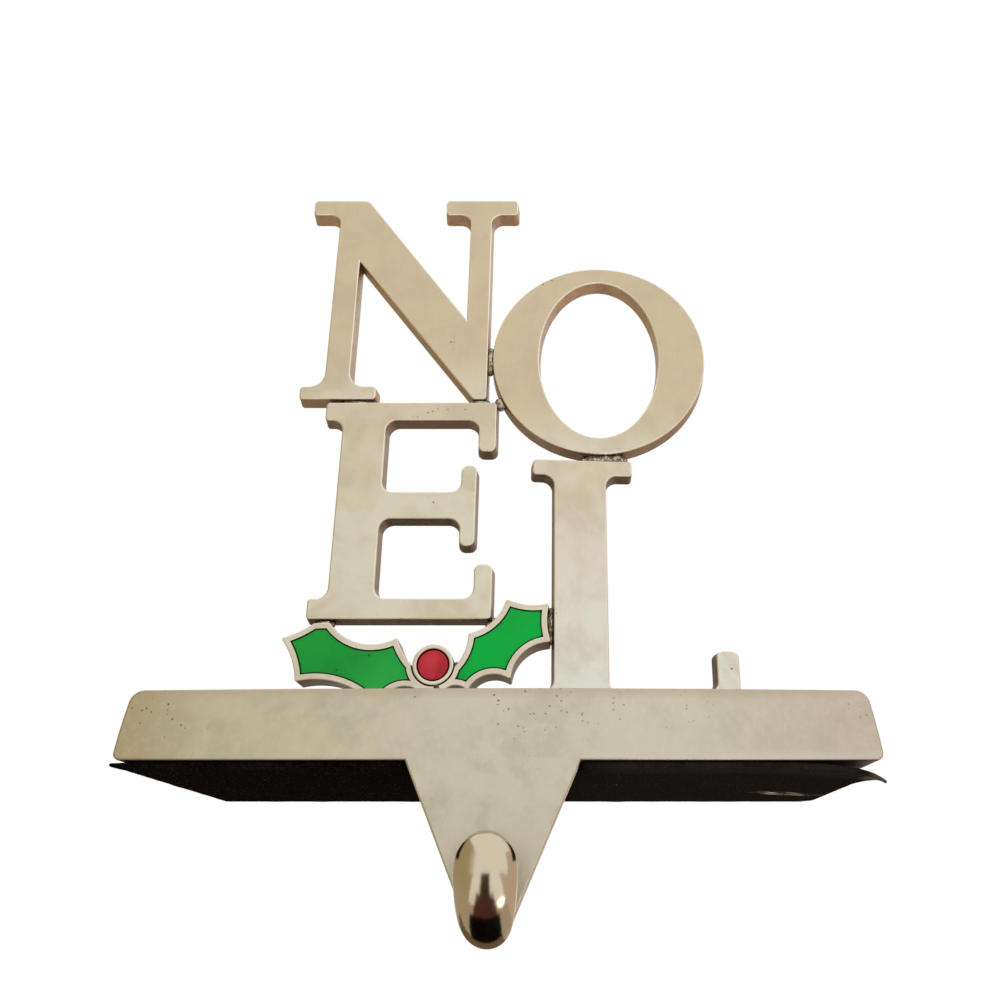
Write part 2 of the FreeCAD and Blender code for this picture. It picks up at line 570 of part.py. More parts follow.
bead("solder_berry_leaf_right", "berry_x + (cup_radius + cup_gap / 2) * cos(10deg)",
     "berry_z - (cup_radius + cup_gap / 2) * sin(10deg)", "cup_gap / 2 + bead_sink", "2.6", "10",
     ("berry_cup", "holly_leaf_right"), "leaf_depth * 0.7")
bead("solder_l_base", "l_middle + 6", "ledge + l_foot_gap / 2", "18", "l_foot_gap / 2 + bead_sink", "0",
     ("base_casting", "letter_l"))
bead("solder_leaf_base", "berry_x + left_heel_across", "ledge + leaf_lift / 2", "2.4", "leaf_lift / 2 + bead_sink", "0",
     ("base_casting", "holly_leaf_left"))

doc.recompute()
for item in doc.Objects:
    if "Invalid" in item.State or "Error" in item.State:
        raise RuntimeError("%s failed to build: %s" % (item.Name, item.State))
for name, item in nodes.items():
    shape = item.Shape
    if shape.isNull() or not shape.isValid() or not shape.Solids:
        raise RuntimeError("%s has no sound solid" % name)
    print("%-24s solids %d  volume %9.1f" % (name, len(shape.Solids), shape.Volume))

os.makedirs("parts", exist_ok=True)
for name, item in nodes.items():
    item.Shape.exportStep("parts/%s.step" % name)
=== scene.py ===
import math

import bmesh
import bpy
from mathutils import Matrix, Vector, geometry, noise


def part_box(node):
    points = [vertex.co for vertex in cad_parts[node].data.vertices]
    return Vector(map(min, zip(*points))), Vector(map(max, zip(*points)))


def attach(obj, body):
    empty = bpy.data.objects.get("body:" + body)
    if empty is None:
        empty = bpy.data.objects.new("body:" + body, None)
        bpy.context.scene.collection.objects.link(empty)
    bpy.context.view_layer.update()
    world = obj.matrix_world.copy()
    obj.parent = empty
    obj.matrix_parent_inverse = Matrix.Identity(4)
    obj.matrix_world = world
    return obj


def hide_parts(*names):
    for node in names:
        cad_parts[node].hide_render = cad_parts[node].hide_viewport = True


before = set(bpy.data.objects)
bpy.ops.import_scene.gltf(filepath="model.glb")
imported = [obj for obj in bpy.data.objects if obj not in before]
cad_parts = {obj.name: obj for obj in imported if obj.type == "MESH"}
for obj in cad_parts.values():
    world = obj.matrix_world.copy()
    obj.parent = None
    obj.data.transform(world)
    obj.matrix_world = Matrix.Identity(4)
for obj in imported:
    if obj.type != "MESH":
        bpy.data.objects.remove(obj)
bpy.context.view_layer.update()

# Base casting
# The real piece is one heavy white-metal casting, bar, front tab and hook finger together, ground flat
# on its front, nickel plated to a champagne tone and polished only on the finger, where a loop slides.
BASE_LEFT_END = (0.485, 0.41, 0.25)
BASE_LEFT = (0.59, 0.535, 0.375)
BASE_MIDDLE = (0.638, 0.585, 0.45)
BASE_RIGHT_END = (0.573, 0.49, 0.383)
BASE_STAIN = (0.50, 0.50, 0.37)
BASE_TARNISH = (0.46, 0.44, 0.34)
BASE_FILM = (0.70, 0.69, 0.60)
BASE_BAND = (0.66, 0.615, 0.56)
# The underside colour is painted shade for the faces that point down.
BASE_UNDERSIDE_SHADE = (0.13, 0.085, 0.05)
BASE_TOP_LINE = (0.50, 0.41, 0.29)
BASE_ROUGHNESS = 0.42
BASE_STROKE_DEPTH = 0.00002
PIT_COLOUR = (0.12, 0.10, 0.065)
PIT_DEPTH = 0.00015
POLISHED = (0.62, 0.545, 0.40)
POLISHED_ROUGHNESS = 0.16
BAR_FRONT_Y = -0.038
BAR_BOTTOM_Z = 0.0015
BAR_TOP_Z = 0.0161
TOP_LINE_DEPTH = 0.0022
FINGER_START = 0.0004


def put(tree, kind, inputs=None, **settings):
    """Add a node; inputs maps a socket's name or number to a value or to the socket that feeds it."""
    made = tree.nodes.new(kind)
    for name, value in settings.items():
        setattr(made, name, value)
    for name, value in (inputs or {}).items():
        if isinstance(value, bpy.types.NodeSocket):
            tree.links.new(value, made.inputs[name])
        else:
            made.inputs[name].default_value = value
    return made


def reckon(tree, operation, first, second=0.0, clamp=False):
    """One sum on two values."""
    made = put(tree, "ShaderNodeMath", {0: first, 1: second}, operation=operation, use_clamp=clamp)
    return made.outputs[0]


def reckon_vector(tree, operation, first, second):
    return put(tree, "ShaderNodeVectorMath", {0: first, 1: second}, operation=operation).outputs[0]


def product(tree, first, *others):
    """Values multiplied together, in the order given."""
    for other in others:
        first = reckon(tree, "MULTIPLY", first, other)
    return first


def total(tree, first, *others):
    """Values added up, in the order given."""
    for other in others:
        first = reckon(tree, "ADD", first, other)
    return first


def all_but(tree, share):
    """What a share leaves of one."""
    return reckon(tree, "SUBTRACT", 1.0, share)


def grade(tree, value, low, high, start=0.0, end=1.0):
    """Smooth step of a value from low to high, put out from start to end."""
    made = put(tree, "ShaderNodeMapRange", {0: value, 1: low, 2: high, 3: start, 4: end},
               interpolation_type="SMOOTHSTEP")
    return made.outputs[0]


def speckle(tree, place, scale, detail, roughness=0.5, distortion=0.0):
    """Plain noise, with scale spots to the metre."""
    made = put(tree, "ShaderNodeTexNoise", {"Vector": place, "Scale": scale, "Detail": detail,
                                            "Roughness": roughness, "Distortion": distortion})
    return made.outputs[0]


def tint(tree, share, first, second):
    """Mix two colours by a share."""
    ends = {}
    for number, colour in ((6, first), (7, second)):
        ends[number] = colour if isinstance(colour, bpy.types.NodeSocket) else (*colour, 1.0)
    return put(tree, "ShaderNodeMix", {0: share, **ends}, data_type="RGBA").outputs[2]


def layers(tree, colour, *coats):
    """Lay tones over a colour, each by its share, the last one on top."""
    for share, tone in coats:
        colour = tint(tree, share, colour, tone)
    return colour


def parts_of(tree, vector):
    """A vector's X, Y and Z."""
    return put(tree, "ShaderNodeSeparateXYZ", {0: vector}).outputs


def facing(tree):
    """The surface's own direction."""
    return put(tree, "ShaderNodeNewGeometry").outputs["Normal"]


def relief(tree, height, depth, strength=1.0, under=None):
    """Bump from a height between 0 and 1 that stands for a depth in metres."""
    inputs = {"Strength": strength, "Distance": depth, "Height": height}
    if under:
        inputs["Normal"] = under
    return put(tree, "ShaderNodeBump", inputs).outputs[0]


def effect(name, inputs, outputs):
    """Start a shader node group; returns its tree, the sockets that come in and those that go out."""
    kinds = {float: "NodeSocketFloat", tuple: "NodeSocketVector"}
    tree = bpy.data.node_groups.new(name, "ShaderNodeTree")
    for label, default in inputs.items():
        socket = tree.interface.new_socket(label, in_out="INPUT", socket_type=kinds[type(default)])
        socket.default_value = default
    for label in outputs:
        tree.interface.new_socket(label, in_out="OUTPUT", socket_type="NodeSocketFloat")
    return tree, tree.nodes.new("NodeGroupInput").outputs, tree.nodes.new("NodeGroupOutput").inputs


def apply_effect(tree, group, **inputs):
    """Place an effect in a material with values of its own; returns what it puts out."""
    return put(tree, "ShaderNodeGroup", inputs, node_tree=group).outputs


# Brushing: fine strokes left by a belt, drawn out along the piece's Z
brushing, given, result = effect("brushing", {"place": (0.0, 0.0, 0.0), "across": 5200.0, "along": 190.0},
                                 ["stroke"])
stretch = put(brushing, "ShaderNodeCombineXYZ", {0: given["across"], 1: given["across"], 2: given["along"]})
drawn_out = reckon_vector(brushing, "MULTIPLY", given["place"], stretch.outputs[0])
strokes = speckle(brushing, drawn_out, 1.0, 3.0, 0.6)
brushing.links.new(reckon(brushing, "SUBTRACT", strokes, 0.5), result["stroke"])

# Clouding: soft blotches of thinner plate and handling
clouding, given, result = effect("clouding", {"place": (0.0, 0.0, 0.0), "size": 90.0, "low": 0.42,
                                              "high": 0.66}, ["cloud"])
blotches = speckle(clouding, given["place"], given["size"], 5.0, 0.62, 0.4)
clouding.links.new(grade(clouding, blotches, given["low"], given["high"]), result["cloud"])

# Pitting: pinholes from the casting, in loose groups
pitting, given, result = effect("pitting", {"place": (0.0, 0.0, 0.0), "count": 620.0, "spread": 70.0,
                                            "rarity": 0.56}, ["pit"])
cells = put(pitting, "ShaderNodeTexVoronoi", {"Vector": given["place"], "Scale": given["count"],
                                              "Randomness": 1.0}).outputs
hole = grade(pitting, cells["Distance"], 0.10, 0.24, 1.0, 0.0)
chosen = put(pitting, "ShaderNodeSeparateColor", {0: cells["Color"]}).outputs[0]
groups = speckle(pitting, given["place"], given["spread"], 2.0)
near = grade(pitting, groups, given["rarity"], reckon(pitting, "ADD", given["rarity"], 0.06))
pitting.links.new(product(pitting, hole, grade(pitting, chosen, 0.55, 0.62), near), result["pit"])


def start_material(name):
    """New material; returns it with its tree, its shader and its object coordinates."""
    material = bpy.data.materials.new(name)
    material.use_nodes = True
    tree = material.node_tree
    place = tree.nodes.new("ShaderNodeTexCoord").outputs["Object"]
    return material, tree, tree.nodes["Principled BSDF"], place


def finish_shader(tree, shader, **sockets):
    """Feed a material's shader; an underscore stands for the space in a socket's name."""
    for label, value in sockets.items():
        label = label.replace("_", " ")
        if isinstance(value, bpy.types.NodeSocket):
            tree.links.new(value, shader.inputs[label])
        elif label == "Base Color":
            shader.inputs[label].default_value = (*value, 1.0)
        else:
            shader.inputs[label].default_value = value


def coat_node(name, material):
    """Give a CAD node's object its finish."""
    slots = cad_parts[name].data.materials
    slots.clear()
    slots.append(material)


base_metal, tree, shader, place = start_material("base_nickel")
where = parts_of(tree, place)
way = parts_of(tree, facing(tree))
cloud = apply_effect(tree, clouding, place=place, size=150.0, low=0.44, high=0.68)[0]
haze = apply_effect(tree, clouding, place=place, size=700.0, low=0.45, high=0.70)[0]
tarnish = apply_effect(tree, clouding, place=place, size=48.0, low=0.50, high=0.66)[0]
stroke = apply_effect(tree, brushing, place=place, across=2600.0, along=300.0)[0]
pit = apply_effect(tree, pitting, place=place, count=900.0, spread=60.0, rarity=0.50)[0]
pit = product(tree, pit, grade(tree, where[2], 0.004, 0.011, 0.15, 1.0),
              grade(tree, where[0], 0.0, 0.02, 1.0, 0.5))
foot_band = product(tree, grade(tree, where[2], BAR_BOTTOM_Z + 0.0004, BAR_BOTTOM_Z + 0.0024, 0.5, 0.0),
                    grade(tree, where[0], 0.01, 0.03))
finger = grade(tree, where[1], BAR_FRONT_Y - FINGER_START, BAR_FRONT_Y - FINGER_START * 3)
bar = all_but(tree, finger)
colour = layers(tree, BASE_LEFT_END,
                (grade(tree, where[0], -0.080, -0.058), BASE_LEFT),
                (grade(tree, where[0], -0.050, 0.0), BASE_MIDDLE),
                (grade(tree, where[0], 0.035, 0.080), BASE_RIGHT_END),
                (product(tree, cloud, grade(tree, where[0], 0.0, 0.05, 0.34, 0.2)), BASE_STAIN),
                (product(tree, tarnish, 0.35), BASE_TARNISH),
                (product(tree, haze, 0.2), BASE_FILM),
                (grade(tree, where[2], BAR_TOP_Z - TOP_LINE_DEPTH, BAR_TOP_Z, 0.0, 0.55), BASE_TOP_LINE),
                (foot_band, BASE_BAND),
                # Painted shade: faces that point down are darkened to a dark brown.
                (grade(tree, way[2], -0.55, -0.95), BASE_UNDERSIDE_SHADE),
                (product(tree, pit, 0.85), PIT_COLOUR),
                (finger, POLISHED))
rough = total(tree, product(tree, cloud, 0.08), product(tree, stroke, 0.12), BASE_ROUGHNESS)
rough = total(tree, product(tree, rough, bar), product(tree, finger, POLISHED_ROUGHNESS))
grain = relief(tree, product(tree, stroke, bar), BASE_STROKE_DEPTH, 0.3)
grain = relief(tree, product(tree, all_but(tree, pit), bar), PIT_DEPTH, 0.8, grain)
finish_shader(tree, shader, Base_Color=colour, Roughness=rough, Metallic=1.0, Normal=grain)
coat_node("base_casting", base_metal)

# Underside pad
# A sheet of black-brown felt about 1.4 mm thick, cut round the tab and glued under the bar. Its glue has
# let go at the front right corner, which droops and curls out, and the front left corner pokes out a little.
PAD_NOTCH_X = (-0.0200, 0.0178)
PAD_NOTCH_Y = -0.0324
PAD_THICKNESS = 0.0014
PAD_STEP = 0.0012
PAD_GAP = 0.00005
PAD_WAVE = 0.00012
PAD_SAG = 0.0009
PAD_SOFT_EDGE = 0.0003
RIGHT_FOLD = (0.0098, 0.024)
RIGHT_DROP = 0.0014
RIGHT_CURL = 0.0019
RIGHT_OUT = 0.0009
RIGHT_FORWARD = 0.0006
RIGHT_THINNING = 0.55
LEFT_FOLD = (0.0042, 0.0055)
LEFT_DROP = 0.0007
LEFT_CURL = 0.0003
LEFT_OUT = 0.0015
LEFT_THINNING = 0.5
FELT = (0.0022, 0.0014, 0.0009)
FELT_BRUSHED = (0.0085, 0.0063, 0.0050)
FELT_WORN = (0.026, 0.021, 0.017)
FELT_FLECK = (0.16, 0.13, 0.10)
FELT_SCUFF = (0.60, 0.50, 0.40)
FELT_BACKING = (0.085, 0.060, 0.042)
FUZZ_DEPTH = 0.0003
STREAK_STRETCH = (220.0, 1500.0, 1.0)
SCUFF_PLACE = (0.0695, 0.0100, 0.0)
SCUFF_STRETCH = (95.0, 210.0, 0.0)
pad_low, pad_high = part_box("underside_pad")


def lines(start, end, step, *fixed):
    """Coordinates from start to end, about a step apart, that include the fixed ones."""
    stops = sorted({start, end, *fixed})
    found = [start]
    for low, high in zip(stops, stops[1:]):
        count = max(1, round((high - low) / step))
        found += [low + (high - low) * number / count for number in range(1, count + 1)]
    return found


def ease(value, low, high):
    """Smooth step of a number from low to high, from 0 to 1."""
    share = min(1.0, max(0.0, (value - low) / (high - low)))
    return share * share * (3 - 2 * share)


def corner_lifts(x, y):
    """How far into the loose right and left corners a point lies, from 0 at the fold to 1 at the tip."""
    right = 1 - (pad_high.x - x) / RIGHT_FOLD[0] - (y - pad_low.y) / RIGHT_FOLD[1]
    left = 1 - (x - pad_low.x) / LEFT_FOLD[0] - (y - pad_low.y) / LEFT_FOLD[1]
    return max(0.0, right), max(0.0, left)


def felt_spot(x, y):
    """Where a point of the flat sheet lies now that its corners have let go."""
    right, left = corner_lifts(x, y)
    sag = PAD_SAG * (1 - ease(pad_high.x - x, 0.0, 0.024)) * ease(pad_high.y - y, 0.0, 0.015)
    drop = sag + RIGHT_DROP * right + RIGHT_CURL * right ** 4 + LEFT_DROP * left - LEFT_CURL * left ** 3
    wave = PAD_WAVE * noise.noise(Vector((x, y, 0.0)) * 160)
    return Vector((x + RIGHT_OUT * ease(right, 0.0, 0.8) - LEFT_OUT * left ** 1.5, y - RIGHT_FORWARD * right,
                   pad_high.z - PAD_GAP - drop + min(0.0, wave)))


def new_piece(name, mesh, material):
    """An object at the origin that wears one material."""
    piece = bpy.data.objects.new(name, mesh)
    bpy.context.collection.objects.link(piece)
    mesh.materials.clear()
    mesh.materials.append(material)
    return piece


def piece_from(shape, name, material):
    """Make a bmesh a piece, and free it."""
    mesh = bpy.data.meshes.new(name)
    shape.to_mesh(mesh)
    shape.free()
    return new_piece(name, mesh, material)


def settle_modifiers(piece):
    """Replace a piece's mesh by what its modifiers make of it."""
    piece.data = bpy.data.meshes.new_from_object(piece.evaluated_get(bpy.context.evaluated_depsgraph_get()))
    piece.modifiers.clear()


def apart_from(tree, place, spot, stretch=(1.0, 1.0, 1.0)):
    """How far a point lies from a spot, with each axis stretched first."""
    apart = reckon_vector(tree, "MULTIPLY", reckon_vector(tree, "SUBTRACT", place, spot), stretch)
    return put(tree, "ShaderNodeVectorMath", {0: apart}, operation="LENGTH").outputs["Value"]


felt, tree, shader, place = start_material("black_felt")
where = parts_of(tree, place)
fuzz = speckle(tree, place, 1500.0, 3.0, 0.7)
streak = speckle(tree, reckon_vector(tree, "MULTIPLY", place, STREAK_STRETCH), 1.0, 4.0, 0.65)
fleck = apply_effect(tree, pitting, place=place, count=700.0, spread=90.0, rarity=0.57)[0]
worn = apply_effect(tree, clouding, place=place, size=55.0, low=0.48, high=0.72)[0]
worn = product(tree, worn, grade(tree, where[1], pad_low.y + 0.001, pad_low.y + 0.012, 1.0, 0.15),
               grade(tree, where[0], 0.0, 0.03, 0.25, 1.0))
scuff = product(tree, grade(tree, apart_from(tree, place, SCUFF_PLACE, SCUFF_STRETCH), 0.35, 1.0, 1.0, 0.0),
                grade(tree, streak, 0.52, 0.60))
brushed = product(tree, grade(tree, where[1], pad_low.y + 0.002, pad_low.y + 0.016, 1.0, 0.0),
                  grade(tree, where[0], 0.018, 0.026), grade(tree, streak, 0.38, 0.56, 0.25, 1.0))
bare_corner = product(tree, grade(tree, where[0], 0.0765, 0.0785),
                      grade(tree, where[1], pad_low.y + 0.006, pad_low.y + 0.012, 1.0, 0.0))
colour = layers(tree, FELT,
                (grade(tree, where[0], -0.01, 0.03), FELT_BRUSHED),
                (product(tree, brushed, 0.55), FELT_WORN),
                (grade(tree, fuzz, 0.35, 0.7, 0.0, 0.25), FELT_WORN),
                (product(tree, worn, 0.7), FELT_WORN),
                (product(tree, fleck, 0.35), FELT_FLECK),
                (product(tree, scuff, 0.95), FELT_SCUFF),
                (bare_corner, FELT_BACKING))
finish_shader(tree, shader, Base_Color=colour, Roughness=1.0, Specular_IOR_Level=0.0,
              Normal=relief(tree, fuzz, FUZZ_DEPTH, 0.7))

grid = bmesh.new()
across = lines(pad_low.x, pad_high.x, PAD_STEP, *PAD_NOTCH_X)
deep = lines(pad_low.y, pad_high.y, PAD_STEP, PAD_NOTCH_Y)
thickness_share = grid.verts.layers.deform.verify()
knots = {}
for column, x in enumerate(across):
    for row, y in enumerate(deep):
        right, left = corner_lifts(x, y)
        knots[column, row] = grid.verts.new(felt_spot(x, y))
        knots[column, row][thickness_share][0] = 1 - RIGHT_THINNING * right - LEFT_THINNING * left
for column in range(len(across) - 1):
    for row in range(len(deep) - 1):
        in_notch_width = PAD_NOTCH_X[0] <= across[column] < PAD_NOTCH_X[1]
        if in_notch_width and deep[row] < PAD_NOTCH_Y:
            continue
        ring = [(column, row), (column + 1, row), (column + 1, row + 1), (column, row + 1)]
        grid.faces.new([knots[spot] for spot in ring])
bmesh.ops.delete(grid, geom=[knot for knot in grid.verts if not knot.link_faces], context="VERTS")
underside_felt = piece_from(grid, "underside_felt", felt)
walls = underside_felt.modifiers.new("thickness", "SOLIDIFY")
walls.thickness = PAD_THICKNESS
walls.offset = -1
walls.vertex_group = underside_felt.vertex_groups.new(name="thickness").name
soft_edge = underside_felt.modifiers.new("soft_edge", "BEVEL")
soft_edge.width = PAD_SOFT_EDGE
soft_edge.segments = 2
soft_edge.angle_limit = math.radians(50)
settle_modifiers(underside_felt)
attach(underside_felt, "root")
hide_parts("underside_pad")

# Felt nap
# Loose wool fibres that stand off the sheet: many along its cut edge, fewer over its underside. Each one is
# a thin three-sided spike that leans its own way.
NAP_INPUTS = {"Edge Density": 1500000.0, "Under Density": 420000.0, "Length": 0.00048, "Girth": 0.000028,
              "Lean": 1.25, "Seed": 5}
NAP_EDGE_SLANT = 0.6
NAP_LEAN_SEED = 9
NAP_DARK = (0.012, 0.009, 0.007)
NAP_PALE = (0.115, 0.090, 0.070)


def grow_nap(material):
    """Node tree that covers a felt sheet's edge and underside with fibres."""
    kinds = {float: "NodeSocketFloat", int: "NodeSocketInt"}
    tree = bpy.data.node_groups.new("nap", "GeometryNodeTree")
    tree.interface.new_socket("Sheet", in_out="INPUT", socket_type="NodeSocketGeometry")
    for label, value in NAP_INPUTS.items():
        tree.interface.new_socket(label, in_out="INPUT", socket_type=kinds[type(value)])
    tree.interface.new_socket("Fibres", in_out="OUTPUT", socket_type="NodeSocketGeometry")
    given = tree.nodes.new("NodeGroupInput").outputs
    up = parts_of(tree, put(tree, "GeometryNodeInputNormal").outputs[0])[2]
    on_edge = reckon(tree, "LESS_THAN", reckon(tree, "ABSOLUTE", up), NAP_EDGE_SLANT)
    on_under = reckon(tree, "LESS_THAN", up, -NAP_EDGE_SLANT)
    density = total(tree, product(tree, on_edge, given["Edge Density"]),
                    product(tree, on_under, given["Under Density"]))
    roots = put(tree, "GeometryNodeDistributePointsOnFaces",
                {"Mesh": given["Sheet"], "Density": density, "Seed": given["Seed"]}).outputs
    spike = put(tree, "GeometryNodeMeshCone", {"Vertices": 3, "Radius Top": 0.0, "Depth": given["Length"],
                                               "Radius Bottom": given["Girth"]})
    size = put(tree, "FunctionNodeRandomValue", {0: (0.7, 0.7, 0.3), 1: (1.2, 1.2, 1.0)},
               data_type="FLOAT_VECTOR")
    planted = put(tree, "GeometryNodeInstanceOnPoints",
                  {"Points": roots["Points"], "Instance": spike.outputs["Mesh"],
                   "Rotation": roots["Rotation"], "Scale": size.outputs[0]})
    lean = put(tree, "FunctionNodeRandomValue", {0: (-1.0, -1.0, 0.0), 1: (1.0, 1.0, 3.0),
                                                 "Seed": NAP_LEAN_SEED}, data_type="FLOAT_VECTOR")
    turn = put(tree, "ShaderNodeVectorMath", {0: lean.outputs[0], "Scale": given["Lean"]}, operation="SCALE")
    leaning = put(tree, "GeometryNodeRotateInstances",
                  {"Instances": planted.outputs[0], "Rotation": turn.outputs[0]})
    real = put(tree, "GeometryNodeRealizeInstances", {0: leaning.outputs[0]})
    painted = put(tree, "GeometryNodeSetMaterial", {"Geometry": real.outputs[0], "Material": material})
    tree.links.new(painted.outputs[0], tree.nodes.new("NodeGroupOutput").inputs["Fibres"])
    return tree


wool, tree, shader, place = start_material("felt_wool")
shade = grade(tree, speckle(tree, place, 2500.0, 1.0), 0.4, 0.62)
finish_shader(tree, shader, Base_Color=tint(tree, shade, NAP_DARK, NAP_PALE), Roughness=1.0,
              Specular_IOR_Level=0.0)
felt_nap = new_piece("felt_nap", underside_felt.data.copy(), wool)
growth = felt_nap.modifiers.new("nap", "NODES")
growth.node_group = grow_nap(wool)
for socket in growth.node_group.interface.items_tree:
    if socket.in_out == "INPUT" and socket.name in NAP_INPUTS:
        growth[socket.identifier] = NAP_INPUTS[socket.name]
settle_modifiers(felt_nap)
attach(felt_nap, "root")

# Letters
# Four flat castings, about 5 mm thick, drafted a few degrees so that they leave the mould. Their faces are
# belt-ground and plated to a satin champagne. The flanks are painted dark brown, partly the browner skin of
# the mould and partly painted shade, with painted light where they face right or up and higher up; the
# softened edges carry a painted highlight.
FACE_WARM = (0.63, 0.52, 0.345)
FACE_PALE = (0.71, 0.655, 0.515)
FACE_SHADE = (0.54, 0.45, 0.31)
FACE_STROKE = (0.80, 0.74, 0.60)
FACE_ROUGHNESS = 0.37
FACE_STROKE_DEPTH = 0.00004
E_FOOT = (0.70, 0.66, 0.505)
E_HEAD = (0.665, 0.58, 0.42)
L_FOOT = (0.75, 0.74, 0.65)
L_HEAD = (0.69, 0.60, 0.455)
# Flank colours: partly the browner skin of the mould, partly painted shade that darkens the flanks.
FLANK_SKIN_AND_SHADE = (0.26, 0.172, 0.105)
FLANK_DEEP_SKIN_AND_SHADE = (0.11, 0.073, 0.043)
# Painted light on the flanks: lighter where they face right or up, and higher up between the two rise
# heights.
FLANK_PAINTED_LIGHT = (0.60, 0.44, 0.30)
FLANK_PAINTED_LIGHT_RISE = (0.07, 0.14)
FLANK_SKIN_DEPTH = 0.00015
# Painted highlight along the softened edges between face and flank.
EDGE_HIGHLIGHT = (0.90, 0.83, 0.70)
EDGE_ROUGHNESS = 0.30

# Zones: tells a casting's ground face, its softened edge and its flank apart by the way they point, and
# gives lit, a painted-light share that grows where the surface points right or up
zones, given, result = effect("zones", {"direction": (0.0, -1.0, 0.0)}, ["face", "edge", "flank", "lit"])
parts = parts_of(zones, given["direction"])
flatness = reckon(zones, "ABSOLUTE", parts[1])
face = grade(zones, flatness, 0.93, 0.985)
flank = grade(zones, flatness, 0.16, 0.36, 1.0, 0.0)
edge = reckon(zones, "SUBTRACT", all_but(zones, face), flank, True)
# lit: painted light, a share that grows where the surface points right (X) or up (Z), used on the flanks.
lit = total(zones, product(zones, parts[0], 0.20), product(zones, parts[2], 0.20))
zones.links.new(face, result["face"])
zones.links.new(flank, result["flank"])
zones.links.new(edge, result["edge"])
zones.links.new(reckon(zones, "ADD", lit, 0.22, True), result["lit"])


def casting_finish(name, foot, head, seam, grain_turn, pits, flank_skin_and_shade=FLANK_SKIN_AND_SHADE):
    """Satin plate for a flat casting, whose face goes from one colour to another between two heights."""
    material, tree, shader, place = start_material(name)
    height = parts_of(tree, place)[2]
    turned = put(tree, "ShaderNodeMapping", {"Vector": place, "Rotation": (0.0, grain_turn, 0.0)}).outputs[0]
    zone = apply_effect(tree, zones, direction=facing(tree))
    cloud = apply_effect(tree, clouding, place=place, size=75.0)[0]
    bloom = apply_effect(tree, clouding, place=place, size=330.0, low=0.45, high=0.7)[0]
    stroke = apply_effect(tree, brushing, place=turned)[0]
    pit = apply_effect(tree, pitting, place=place, count=760.0, spread=60.0, rarity=pits)[0]
    face = layers(tree, foot,
                  (grade(tree, height, *seam), head),
                  (product(tree, cloud, 0.4), FACE_SHADE),
                  (reckon(tree, "MULTIPLY", stroke, 0.9, True), FACE_STROKE))
    # Flank base colour: partly mould skin, partly painted shade.
    side = layers(tree, flank_skin_and_shade,
                  # Painted light: flanks that face right or up, and those higher up, turn lighter.
                  (zone["lit"], FLANK_PAINTED_LIGHT),
                  (grade(tree, height, *FLANK_PAINTED_LIGHT_RISE, 0.0, 0.9), FLANK_PAINTED_LIGHT),
                  (product(tree, bloom, 0.3), FLANK_SKIN_AND_SHADE))
    colour = layers(tree, face,
                    # Painted highlight: the softened edge between face and flank is painted pale.
                    (zone["edge"], EDGE_HIGHLIGHT),
                    (zone["flank"], side),
                    (product(tree, pit, 0.8), PIT_COLOUR))
    rough = total(tree, product(tree, cloud, 0.07), product(tree, stroke, 0.16),
                  product(tree, zone["flank"], 0.10),
                  grade(tree, zone["edge"], 0.0, 1.0, FACE_ROUGHNESS, EDGE_ROUGHNESS))
    grain = relief(tree, stroke, FACE_STROKE_DEPTH, 0.4)
    grain = relief(tree, all_but(tree, pit), PIT_DEPTH, 0.8, grain)
    grain = relief(tree, product(tree, bloom, zone["flank"]), FLANK_SKIN_DEPTH, 0.5, grain)
    finish_shader(tree, shader, Base_Color=colour, Roughness=rough, Metallic=1.0, Normal=grain)
    return material


coat_node("letter_n", casting_finish("nickel_n", FACE_PALE, FACE_WARM, (0.095, 0.125), 0.25, 0.66))
coat_node("letter_o", casting_finish("nickel_o", FACE_PALE, FACE_WARM, (0.085, 0.105), -0.2, 0.66))
coat_node("letter_e", casting_finish("nickel_e", E_FOOT, E_HEAD, (0.06, 0.10), 0.1, 0.57, FLANK_DEEP_SKIN_AND_SHADE))
coat_node("letter_l", casting_finish("nickel_l", L_FOOT, L_HEAD, (0.02, 0.085), 0.0, 0.62, FLANK_DEEP_SKIN_AND_SHADE))

# Holly leaves and berry cup
# Three small castings from thicker stock than the letters, each with a raised rim round a sunk field that
# holds the enamel. Their rims are ground bright with the rest, and their flanks get the same dark brown,
# partly mould skin and partly painted shade.
HOLLY_FOOT = (0.73, 0.68, 0.55)
HOLLY_HEAD = (0.71, 0.645, 0.505)
holly_metal = casting_finish("nickel_holly", HOLLY_FOOT, HOLLY_HEAD, (0.02, 0.05), 0.0, 0.7, FLANK_DEEP_SKIN_AND_SHADE)
for name in ("holly_leaf_left", "holly_leaf_right", "berry_cup"):
    coat_node(name, holly_metal)

# Enamel
# Soft enamel poured into the leaves and the berry cup: green with a paler middle, and red. It shrank as it
# dried, which left a narrow groove where it meets the rim, painted with a dark line of shade, and it holds a
# few specks of dust.
LINE_WIDTH = 0.00030
LINE_FADE = 0.00012
# One near-black colour for the painted shade in the border groove and for the dust specks.
GAP_SHADE_AND_DUST = (0.003, 0.004, 0.002)
GROOVE = 0.00010
FIELD_STEP = 0.0008
FIELD_SLANT = -0.7
FIELD_ROUNDS = 6
ENAMEL_ROUGHNESS = 0.32
ENAMEL_SHEEN = 0.14
ENAMEL_RIPPLE_DEPTH = 0.00012
LEAF_GREEN = (0.009, 0.36, 0.044)
LEAF_PALE = (0.034, 0.53, 0.090)
LEAF_DEEP = (0.007, 0.26, 0.034)
LEFT_POOL = (-0.029, -0.004, 0.020)
RIGHT_GREEN = (0.0, 0.46, 0.056)
RIGHT_PALE = (0.0, 0.51, 0.064)
RIGHT_POOL = (-0.006, -0.004, 0.030)
BERRY_RED = (0.60, 0.034, 0.053)
BERRY_PALE = (0.66, 0.048, 0.068)
BERRY_DEEP = (0.32, 0.012, 0.018)
